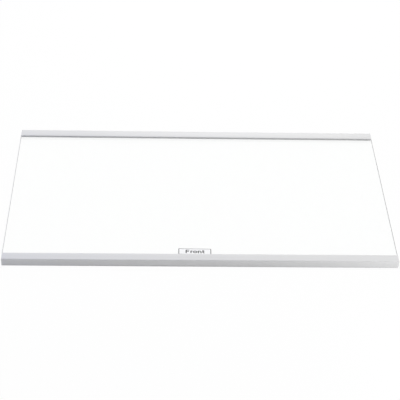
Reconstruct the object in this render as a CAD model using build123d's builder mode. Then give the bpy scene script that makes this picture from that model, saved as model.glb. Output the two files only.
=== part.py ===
"""Glass shelf for a refrigerator.

A toughened glass pane is held at its front and rear edges by two plastic trims, cut from one extruded
section. The section has a slot for the pane between a lip that thins towards its tip and a shorter ledge,
ribs that grip the glass, and a skirt below the ledge that turns inwards into a toe. A paper label on the
glass marks the front.

X runs across the shelf, Y from its front edge to its rear edge, and Z up from the feet of the trims.
All sizes are in millimetres.
"""

import os
from math import cos, radians, sin

from build123d import *

# Overall size
shelf_width = 520.0
shelf_depth = 285.0

# Glass pane, with its edges ground to a small bevel
glass_thickness = 4.0
glass_corner_radius = 4.0
glass_bevel = 0.4

# Trim section: the lip and the ledge are measured from the outer face of the trim
nose_wall = 2.2
nose_radius = 1.2
lip_depth = 13.6
lip_thickness = 2.3
lip_slope_depth = 4.8
lip_slope_drop = 0.7
lip_tip_radius = 1.2
ledge_depth = 10.0
ledge_thickness = 1.7
skirt_gap = 1.8
toe_thickness = 1.2
toe_reach = 2.0
tip_radius = 0.5
root_radius = 0.4
largest_round = 0.45

# Ribs that grip the pane, on the two inner faces of the slot
grip_height = 0.3
grip_width = 1.2
grip_flank_angle = 60.0
grip_pitch = 3.4
ledge_grip_inset = 0.8

# Gap between the edge of the pane and the bottom of the slot
seat_clearance = 0.2

# Each end of a trim stops this far short of the side of the pane
trim_setback = 0.5

# Label on the glass: offset from the middle of the shelf and tilted a little, as stuck on by hand
label_width = 43.4
label_depth = 11.4
label_thickness = 0.15
label_corner_radius = 0.6
label_offset = -8.0
label_tilt = -0.8
label_clearance = 0.2

# Heights of the stack, from the feet up
ledge_bottom = toe_thickness + skirt_gap
ledge_top = ledge_bottom + ledge_thickness
glass_bottom = ledge_top + grip_height
glass_top = glass_bottom + glass_thickness
lip_bottom = glass_top + grip_height
trim_height = lip_bottom + lip_thickness


def held_radius(radius, room):
    """The radius, or as much of it as a wall or gap of this size can hold on both of its sides."""
    return min(radius, largest_round * room)


# Section of both trims: X is the depth from the outer face, Y the height above the foot
with BuildSketch() as trim_section:
    low_corner = (Align.MIN, Align.MIN)
    toe_depth = nose_wall + toe_reach
    Rectangle(nose_wall, trim_height, align=low_corner)
    Rectangle(toe_depth, toe_thickness, align=low_corner)
    with Locations((0, ledge_bottom)):
        Rectangle(ledge_depth, ledge_thickness, align=low_corner)

    # The top of the lip is level at first, then slopes down to the tip
    slope_start = (lip_depth - lip_slope_depth, trim_height)
    slope_end = (lip_depth, trim_height - lip_slope_drop)
    lip_outline = [(0, lip_bottom), (lip_depth, lip_bottom), slope_end, slope_start, (0, trim_height)]
    Polygon(*lip_outline, align=(Align.NONE, Align.NONE))

    # The tip of the lip turns down onto the glass
    with Locations((lip_depth, glass_top)):
        Rectangle(grip_width, grip_height, align=(Align.MAX, Align.MIN))

    toe_radius = held_radius(tip_radius, toe_thickness)
    ledge_radius = held_radius(tip_radius, ledge_thickness)
    skirt_root_radius = held_radius(root_radius, skirt_gap)
    rounded_corners = [
        ((0, trim_height), nose_radius),
        ((0, 0), tip_radius),
        (slope_end, lip_tip_radius),
        ((ledge_depth, ledge_top), ledge_radius),
        ((ledge_depth, ledge_bottom), ledge_radius),
        ((toe_depth, toe_thickness), toe_radius),
        ((toe_depth, 0), toe_radius),
        ((nose_wall, lip_bottom), root_radius),
        ((nose_wall, ledge_top), root_radius),
        ((nose_wall, ledge_bottom), skirt_root_radius),
        ((nose_wall, toe_thickness), skirt_root_radius),
    ]
    for place, radius in rounded_corners:
        fillet(trim_section.vertices().sort_by_distance(place)[0], radius)

    # Ribs stand at one pitch from the tip of the lip and from the tip of the ledge, as many as the slot holds
    first_lip_grip = lip_depth - grip_width / 2 - grip_pitch
    first_ledge_grip = ledge_depth - ledge_grip_inset - grip_width / 2
    deepest_grip = nose_wall + seat_clearance + glass_bevel + grip_width
    lip_grip_count = int((first_lip_grip - deepest_grip) / grip_pitch) + 1
    ledge_grip_count = int((first_ledge_grip - deepest_grip) / grip_pitch) + 1
    with Locations(*[(first_lip_grip - n * grip_pitch, lip_bottom) for n in range(lip_grip_count)]):
        Trapezoid(grip_width, grip_height, grip_flank_angle, rotation=180, align=(Align.CENTER, Align.MIN))
    with Locations(*[(first_ledge_grip - n * grip_pitch, ledge_top) for n in range(ledge_grip_count)]):
        Trapezoid(grip_width, grip_height, grip_flank_angle, align=(Align.CENTER, Align.MIN))

# Each trim looks inwards from its own edge of the shelf
trim_length = shelf_width - 2 * trim_setback
front_edge = Plane(origin=(0, -shelf_depth / 2, 0), x_dir=(0, 1, 0), z_dir=(1, 0, 0))
rear_edge = Plane(origin=(0, shelf_depth / 2, 0), x_dir=(0, -1, 0), z_dir=(-1, 0, 0))

# Front trim: the strip that faces the door
with BuildPart() as front_trim:
    with BuildSketch(front_edge):
        add(trim_section.sketch)
    extrude(amount=trim_length / 2, both=True)
front_trim.part.label = "front_trim"

# Rear trim: the same strip, turned round
with BuildPart() as rear_trim:
    with BuildSketch(rear_edge):
        add(trim_section.sketch)
    extrude(amount=trim_length / 2, both=True)
rear_trim.part.label = "rear_trim"

# Glass pane: seated in both slots, with its sides a little proud of the ends of the trims
glass_depth = shelf_depth - 2 * (nose_wall + seat_clearance)
with BuildPart() as glass_panel:
    with BuildSketch(Plane.XY.offset(glass_bottom)):
        RectangleRounded(shelf_width, glass_depth, glass_corner_radius)
    extrude(amount=glass_thickness)
    chamfer(glass_panel.faces().filter_by(Axis.Z).edges(), glass_bevel)
glass_panel.part.label = "glass_panel"

# Label: stuck on the glass, with its nearest corner just clear of the lip of the front trim
tilt = radians(label_tilt)
label_half_reach = label_width / 2 * abs(sin(tilt)) + label_depth / 2 * cos(tilt)
label_middle = -shelf_depth / 2 + lip_depth + label_clearance + label_half_reach
label_plane = Plane(origin=(label_offset, label_middle, glass_top)).rotated((0, 0, label_tilt))
with BuildPart() as front_label:
    with BuildSketch(label_plane):
        RectangleRounded(label_width, label_depth, label_corner_radius)
    extrude(amount=label_thickness)
front_label.part.label = "front_label"

os.makedirs("parts", exist_ok=True)
export_step(glass_panel.part, "parts/glass_panel.step")
export_step(front_trim.part, "parts/front_trim.step")
export_step(rear_trim.part, "parts/rear_trim.step")
export_step(front_label.part, "parts/front_label.step")
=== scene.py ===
from math import cos, radians, sin

import bmesh
import bpy
from mathutils import Matrix, Vector


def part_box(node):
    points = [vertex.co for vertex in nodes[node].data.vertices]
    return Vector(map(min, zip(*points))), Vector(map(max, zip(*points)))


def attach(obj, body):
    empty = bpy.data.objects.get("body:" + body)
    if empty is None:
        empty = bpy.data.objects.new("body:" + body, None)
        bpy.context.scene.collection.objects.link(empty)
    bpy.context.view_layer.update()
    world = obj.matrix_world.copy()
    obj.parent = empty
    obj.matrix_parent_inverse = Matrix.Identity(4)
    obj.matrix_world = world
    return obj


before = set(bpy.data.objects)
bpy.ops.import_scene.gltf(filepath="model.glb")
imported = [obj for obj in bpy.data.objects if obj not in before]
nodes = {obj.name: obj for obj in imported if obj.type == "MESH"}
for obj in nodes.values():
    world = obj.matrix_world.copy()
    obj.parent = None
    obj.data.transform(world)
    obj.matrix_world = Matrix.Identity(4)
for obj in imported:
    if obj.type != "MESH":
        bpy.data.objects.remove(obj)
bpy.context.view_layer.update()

# Glass pane: clear float glass, cut with rounded corners, ground along its edges and then toughened.
# Its two faces are fire-polished, with faint wiping marks, and its ground edges are matt and finely pitted.
# Its front and rear edges sit in the slots of the two trims.
MM = 0.001
clear_tint = (0.995, 1.0, 0.997, 1)
ground_tint = (0.62, 0.625, 0.622, 1)
ground_pit_tint = (0.485, 0.49, 0.487, 1)
shadow_tint = (0.96, 0.97, 0.965, 1)
glass_ior = 1.52
smear_size = 110 * MM
smear_bending = 1.2
smear_roughness = 0.02
pit_size = 0.55 * MM
pit_height = 0.02 * MM
ground_roughness = 0.45
pit_roughness = 0.2
# A face lies across an axis where its normal is at least this much along that axis
across_limit = 0.9


class Sock:
    """A socket in a node tree. Sums with it add Math nodes, and node() adds a node of any kind."""

    def __init__(self, tree, plug=None):
        self.tree = tree
        self.plug = plug

    def node(self, kind, sockets, output=0, **settings):
        """Adds a node, makes its settings, then gives its sockets their values or links."""
        made = self.tree.nodes.new("ShaderNode" + kind)
        for name, value in settings.items():
            setattr(made, name, value)
        for name, value in sockets.items():
            if isinstance(value, Sock):
                self.tree.links.new(value.plug, made.inputs[name])
            else:
                made.inputs[name].default_value = value
        return Sock(self.tree, made.outputs[output] if made.outputs else None)

    def math(self, operation, *terms):
        """Adds a Math node, for the operators below."""
        return self.node("Math", dict(enumerate(terms)), operation=operation)

    def __add__(self, other):
        return self.math("ADD", self, other)

    def __sub__(self, other):
        return self.math("SUBTRACT", self, other)

    def __rsub__(self, other):
        return self.math("SUBTRACT", other, self)

    def __mul__(self, other):
        return self.math("MULTIPLY", self, other)

    def __gt__(self, other):
        return self.math("GREATER_THAN", self, other)

    def __abs__(self):
        return self.math("ABSOLUTE", self)

    __radd__ = __add__
    __rmul__ = __mul__


def new_material(name):
    """A material with an empty tree, and the tree as a Sock to build on."""
    material = bpy.data.materials.new(name)
    material.use_nodes = True
    material.node_tree.nodes.clear()
    return material, Sock(material.node_tree)


def dress(piece, material):
    """Gives a piece one material, in place of any that it came with."""
    piece.data.materials.clear()
    piece.data.materials.append(material)


def patches(tree, place, size, octaves, bending=0.0):
    """Soft noise with patches of about this size, and finer ones on them in octaves."""
    sockets = {"Vector": place, "Scale": 1 / size, "Detail": octaves, "Distortion": bending}
    return tree.node("TexNoise", sockets)


def blend(tree, amount, first, second):
    """A colour between two, by an amount from 0 to 1."""
    # A Mix node takes its two colours at sockets 6 and 7, and gives the colour at output 2
    return tree.node("Mix", {0: amount, 6: first, 7: second}, 2, data_type="RGBA")


def faces_across(tree, axis):
    """1 on the faces that lie across an axis, and 0 on the others."""
    normal = tree.node("NewGeometry", {}, "True Normal")
    return abs(tree.node("SeparateXYZ", {"Vector": normal}, axis)) > across_limit


def glass_material():
    material, tree = new_material("clear_glass")
    place = tree.node("TexCoord", {}, "Object")
    smears = patches(tree, place, smear_size, octaves=4, bending=smear_bending)
    clear = tree.node(
        "BsdfPrincipled",
        {
            "Base Color": clear_tint,
            "Roughness": smear_roughness * smears,
            "IOR": glass_ior,
            "Transmission Weight": 1.0,
        },
    )
    pits = patches(tree, place, pit_size, octaves=2)
    ground = tree.node(
        "BsdfPrincipled",
        {
            "Base Color": blend(tree, pits, ground_tint, ground_pit_tint),
            "Roughness": ground_roughness + pit_roughness * pits,
            "IOR": glass_ior,
            "Normal": tree.node("Bump", {"Height": pits, "Distance": pit_height}),
        },
    )
    pane = tree.node("MixShader", {0: faces_across(tree, "Z"), 1: ground, 2: clear})
    # The pane dims the light of the lamps a little, and casts no dark shadow
    from_lamp = tree.node("LightPath", {}, "Is Shadow Ray")
    let_through = tree.node("BsdfTransparent", {"Color": shadow_tint})
    surface = tree.node("MixShader", {0: from_lamp, 1: pane, 2: let_through})
    tree.node("OutputMaterial", {"Surface": surface})
    return material


dress(nodes["glass_panel"], glass_material())

# Front and rear trims: two lengths of one extruded plastic section, sawn off square and pressed over the
# edges of the glass. Pale grey and satin, with the fine straight marks that the die draws along the length,
# and rougher where the saw has cut the ends.
trim_grey = (0.715, 0.715, 0.715, 1)
trim_mark_grey = (0.65, 0.65, 0.651, 1)
plastic_ior = 1.5
die_mark_length = 350 * MM
die_mark_width = 0.7 * MM
saw_mark_length = 20 * MM
saw_mark_width = 0.25 * MM
mark_height = 0.012 * MM
cloud_size = 70 * MM
cloud_share = 0.5
grain_size = 0.25 * MM
grain_height = 0.002 * MM
satin_roughness = 0.40
mark_roughness = 0.12
sawn_roughness = 0.15


def marks_along(tree, place, lengths):
    """Fine uneven lines, as long as the lengths say along each axis."""
    spread = tuple(1 / length for length in lengths)
    drawn_out = tree.node("VectorMath", {0: place, 1: spread}, operation="MULTIPLY")
    return patches(tree, drawn_out, size=1, octaves=3)


def trim_material():
    material, tree = new_material("satin_plastic")
    place = tree.node("TexCoord", {}, "Object")
    die_marks = marks_along(tree, place, (die_mark_length, die_mark_width, die_mark_width))
    saw_marks = marks_along(tree, place, (saw_mark_width, saw_mark_length, saw_mark_width))
    sawn = faces_across(tree, "X")
    marks = (1 - sawn) * die_marks + sawn * saw_marks
    clouds = patches(tree, place, cloud_size, octaves=2)
    shades = (1 - cloud_share) * marks + cloud_share * clouds
    mark_bump = tree.node("Bump", {"Height": marks, "Distance": mark_height})
    grain = patches(tree, place, grain_size, octaves=1)
    grain_bump = tree.node("Bump", {"Height": grain, "Distance": grain_height, "Normal": mark_bump})
    plastic = tree.node(
        "BsdfPrincipled",
        {
            "Base Color": blend(tree, shades, trim_grey, trim_mark_grey),
            "Roughness": satin_roughness + mark_roughness * shades + sawn_roughness * sawn,
            "IOR": plastic_ior,
            "Normal": grain_bump,
        },
    )
    tree.node("OutputMaterial", {"Surface": plastic})
    return material


satin_plastic = trim_material()
dress(nodes["front_trim"], satin_plastic)
dress(nodes["rear_trim"], satin_plastic)

# Label: a small plate of white self-adhesive paper with a matt, slightly fibrous face. It is stuck on the
# glass by hand, a little askew, close behind the lip of the front trim.
paper_white = (0.96, 0.96, 0.955, 1)
paper_fibre_white = (0.93, 0.93, 0.925, 1)
fibre_size = 0.4 * MM
fibre_height = 0.005 * MM
fibre_bending = 0.8
paper_roughness = 0.65
fibre_roughness = 0.15


def paper_material():
    material, tree = new_material("label_paper")
    place = tree.node("TexCoord", {}, "Object")
    fibres = patches(tree, place, fibre_size, octaves=3, bending=fibre_bending)
    paper = tree.node(
        "BsdfPrincipled",
        {
            "Base Color": blend(tree, fibres, paper_white, paper_fibre_white),
            "Roughness": paper_roughness + fibre_roughness * fibres,
            "Normal": tree.node("Bump", {"Height": fibres, "Distance": fibre_height}),
        },
    )
    tree.node("OutputMaterial", {"Surface": paper})
    return material


dress(nodes["front_label"], paper_material())

# Print on the label: a frame, and the word that tells which edge of the shelf is the front, in plain bold
# letters. It is a thin layer of dark ink on the paper, drawn about the label's middle and turned with it.
ink_grey = (0.02, 0.02, 0.022, 1)
ink_thin_grey = (0.05, 0.05, 0.053, 1)
ink_thickness = 0.03 * MM
ink_patch_size = 0.65 * MM
ink_roughness = 0.5
ink_patch_roughness = 0.2
# The tilt of the label in the CAD model
label_tilt = radians(-0.8)
frame_width = 43.0 * MM
frame_depth = 11.0 * MM
frame_side_line = 0.9 * MM
frame_end_line = 0.6 * MM
word_foot = -3.25 * MM
# Heights are above the foot of the word. A stem is an upright stroke, and a bar or an arm lies level
capital_height = 6.4 * MM
small_height = 4.85 * MM
stem = 1.4 * MM
round_stem = 1.7 * MM
bar = 1.15 * MM
arm_foot = 2.7 * MM
arm_share = 0.85
arch_start = 2.7 * MM
t_height = 6.0 * MM
t_stem_side = 0.5 * MM
t_foot_height = 1.9 * MM
bend_steps = 16
# The left and right side of each letter, in millimetres from the middle of the label
letter_sides = {"F": (-12.1, -7.1), "r": (-5.8, -3.0), "o": (-2.5, 3.2), "n": (3.9, 8.8), "t": (9.6, 12.8)}


def ink_material():
    material, tree = new_material("label_ink")
    place = tree.node("TexCoord", {}, "Object")
    thin_ink = patches(tree, place, ink_patch_size, octaves=2)
    ink = tree.node(
        "BsdfPrincipled",
        {
            "Base Color": blend(tree, thin_ink, ink_grey, ink_thin_grey),
            "Roughness": ink_roughness + ink_patch_roughness * thin_ink,
        },
    )
    tree.node("OutputMaterial", {"Surface": ink})
    return material


def add_ring(print_mesh, outer, inner):
    """Adds a flat ring between two outlines that have as many points each."""
    edges = ((outer, 0), (outer, ink_thickness), (inner, ink_thickness), (inner, 0))
    loops = [[print_mesh.verts.new((x, y, height)) for x, y in outline] for outline, height in edges]
    for loop, next_loop in zip(loops, loops[1:] + loops[:1]):
        for n in range(len(loop)):
            print_mesh.faces.new((loop[n - 1], loop[n], next_loop[n], next_loop[n - 1]))


def add_plate(print_mesh, outline):
    """Adds a flat shape inside one outline."""
    low = [print_mesh.verts.new((x, y, 0)) for x, y in outline]
    high = [print_mesh.verts.new((x, y, ink_thickness)) for x, y in outline]
    print_mesh.faces.new(low)
    print_mesh.faces.new(high)
    for n in range(len(outline)):
        print_mesh.faces.new((low[n - 1], low[n], high[n], high[n - 1]))


def bend(middle, reach, start, end):
    """Points on part of an ellipse, from one angle to another, in degrees."""
    turns = [radians(start + (end - start) * n / bend_steps) for n in range(bend_steps + 1)]
    return [(middle[0] + reach[0] * cos(turn), middle[1] + reach[1] * sin(turn)) for turn in turns]


def rectangle(half_width, half_depth):
    """The corners of a rectangle about the origin."""
    near = [(-half_width, -half_depth), (half_width, -half_depth)]
    far = [(half_width, half_depth), (-half_width, half_depth)]
    return near + far


# The outline of each letter runs anticlockwise, measured from its left side and its foot
def letter_f(width):
    arm = arm_share * width
    arm_top = arm_foot + bar
    top_arm_foot = capital_height - bar
    stem_and_arm = [(0, 0), (stem, 0), (stem, arm_foot), (arm, arm_foot), (arm, arm_top), (stem, arm_top)]
    top_arm = [(stem, top_arm_foot), (width, top_arm_foot), (width, capital_height), (0, capital_height)]
    return stem_and_arm + top_arm


def letter_r(width):
    hollow = bend((width, arch_start), (width - stem, small_height - bar - arch_start), 180, 90)
    return [(0, 0), (stem, 0), *hollow, (width, small_height), (0, small_height)]


def letter_n(width):
    middle = (width / 2, arch_start)
    hollow = bend(middle, (width / 2 - stem, small_height - bar - arch_start), 180, 0)
    shoulder = bend(middle, (width / 2, small_height - arch_start), 0, 90)
    return [(0, 0), (stem, 0), *hollow, (width - stem, 0), (width, 0), *shoulder, (0, small_height)]


def letter_t(width):
    right = t_stem_side + stem
    bar_foot = small_height - bar
    outside = bend((width, t_foot_height), (width - t_stem_side, t_foot_height), 180, 270)
    inside = bend((width, t_foot_height), (width - right, t_foot_height - bar), 270, 180)
    right_bar = [(right, bar_foot), (width, bar_foot), (width, small_height), (right, small_height)]
    top = [(right, t_height), (t_stem_side, t_height), (t_stem_side, small_height)]
    left_bar = [(0, small_height), (0, bar_foot), (t_stem_side, bar_foot)]
    return outside + inside + right_bar + top + left_bar


def letter_o(width, side=0, end=0):
    """The outside of the letter, or a line inside it, in from its sides and ends by two widths."""
    return bend((width / 2, small_height / 2), (width / 2 - side, small_height / 2 - end), 0, 360)[:-1]


def in_word(outline, left):
    """An outline at its place in the word."""
    return [(left + x, word_foot + y) for x, y in outline]


ink_mesh = bmesh.new()
frame_outside = rectangle(frame_width / 2, frame_depth / 2)
frame_inside = rectangle(frame_width / 2 - frame_side_line, frame_depth / 2 - frame_end_line)
add_ring(ink_mesh, frame_outside, frame_inside)
letter_shapes = {"F": letter_f, "r": letter_r, "n": letter_n, "t": letter_t}
for letter, (left_side, right_side) in letter_sides.items():
    left = left_side * MM
    width = right_side * MM - left
    if letter == "o":
        add_ring(ink_mesh, in_word(letter_o(width), left), in_word(letter_o(width, round_stem, bar), left))
    else:
        add_plate(ink_mesh, in_word(letter_shapes[letter](width), left))
bmesh.ops.recalc_face_normals(ink_mesh, faces=ink_mesh.faces)
label_low, label_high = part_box("front_label")
label_middle = (label_low + label_high) / 2
label_top = Matrix.Translation((label_middle.x, label_middle.y, label_high.z))
ink_mesh.transform(label_top @ Matrix.Rotation(label_tilt, 4, "Z"))
print_data = bpy.data.meshes.new("label_print")
ink_mesh.to_mesh(print_data)
ink_mesh.free()
label_print = bpy.data.objects.new("label_print", print_data)
bpy.context.scene.collection.objects.link(label_print)
dress(label_print, ink_material())
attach(label_print, "root")

# Floor and backdrop: one level sweep of white paper under and behind the shelf, which isn't part of it.
# It shows as white to the camera and in the glass, and keeps a trace of the shelf's shadow.
half_sweep = 4.0
mottle_size = 0.2
mottle_roughness = 0.3
sweep_white = (0.85, 0.85, 0.85, 1)
sweep_glow_share = 0.97
white = (1, 1, 1, 1)


def seen_rays(tree):
    """1 for rays from the camera, and for what is seen by reflection or through the glass."""
    rays = ("Is Camera Ray", "Is Glossy Ray", "Is Transmission Ray")
    camera, glossy, through = (tree.node("LightPath", {}, ray) for ray in rays)
    return tree.node("Math", {0: camera + glossy + through, 1: 1.0}, operation="MINIMUM")


def sweep_material():
    material, tree = new_material("paper_sweep")
    place = tree.node("TexCoord", {}, "Object")
    mottle = patches(tree, place, mottle_size, octaves=2)
    paper = tree.node("BsdfDiffuse", {"Color": sweep_white, "Roughness": mottle_roughness * mottle})
    glow = tree.node("Emission", {"Color": white, "Strength": 1.0})
    both = tree.node("MixShader", {0: sweep_glow_share * seen_rays(tree), 1: paper, 2: glow})
    tree.node("OutputMaterial", {"Surface": both})
    return material


sweep_mesh = bpy.data.meshes.new("floor")
sweep_corners = [(x, y, 0) for x, y in rectangle(half_sweep, half_sweep)]
sweep_mesh.from_pydata(sweep_corners, [], [(0, 1, 2, 3)])
floor = bpy.data.objects.new("floor", sweep_mesh)
bpy.context.scene.collection.objects.link(floor)
dress(floor, sweep_material())

# Studio light: an even white room, a large soft box above and behind the shelf, a smaller one lower down
# behind it, a small one near the right end of the front edge, and a faint cool one at the left.
# None of them is mirrored in the glass, which shows the white room alone.
room_light = 0.473
daylight = (1, 1, 1)
cool_light = (0.05, 0.2, 1.0)
world = bpy.data.worlds.new("room")
world.use_nodes = True
world.node_tree.nodes.clear()
room = Sock(world.node_tree)
room_strength = room_light + (1 - room_light) * seen_rays(room)
background = room.node("Background", {"Color": white, "Strength": room_strength})
room.node("OutputWorld", {"Surface": background})
bpy.context.scene.world = world


def soft_box(name, place, size, power, colour):
    """A square lamp that points at the middle of the shelf, and isn't seen or mirrored itself."""
    lamp = bpy.data.lights.new(name, "AREA")
    lamp.shape = "SQUARE"
    lamp.size = size
    lamp.energy = power
    lamp.color = colour
    box = bpy.data.objects.new(name, lamp)
    box.location = place
    box.rotation_euler = (-Vector(place)).to_track_quat("-Z", "Y").to_euler()
    box.visible_camera = False
    box.visible_glossy = False
    box.visible_transmission = False
    bpy.context.scene.collection.objects.link(box)


soft_box("overhead_box", place=(0.1, 0.55, 1.4), size=1.0, power=12.5, colour=daylight)
soft_box("rear_box", place=(0.1, 0.62, 0.42), size=0.35, power=1.3, colour=daylight)
soft_box("right_box", place=(0.36, -0.36, 0.08), size=0.12, power=0.32, colour=daylight)
soft_box("left_box", place=(-0.42, -0.12, 0.32), size=0.2, power=0.14, colour=cool_light)

# Camera: a long lens in front of the shelf and a little to the left of its middle. It looks down on the
# shelf, turned slightly to the right, and isn't quite level.
image_width_px = 400
focal_length_px = 1169.64
sensor_width_mm = 36.0
camera_place = (-0.05582, -1.27004, 1.03606)
camera_turn = radians(-2.5997)
camera_height_angle = radians(39.2760)
camera_roll = radians(2.1449)
camera_data = bpy.data.cameras.new("camera")
camera_data.sensor_width = sensor_width_mm
camera_data.lens = focal_length_px * sensor_width_mm / image_width_px
camera = bpy.data.objects.new("camera", camera_data)
turn = Matrix.Rotation(camera_turn, 4, "Z")
tip = Matrix.Rotation(radians(90) - camera_height_angle, 4, "X")
roll = Matrix.Rotation(camera_roll, 4, "Z")
camera.matrix_world = Matrix.Translation(camera_place) @ turn @ tip @ roll
bpy.context.scene.collection.objects.link(camera)
bpy.context.scene.camera = camera
bpy.context.scene.view_settings.view_transform = "Standard"
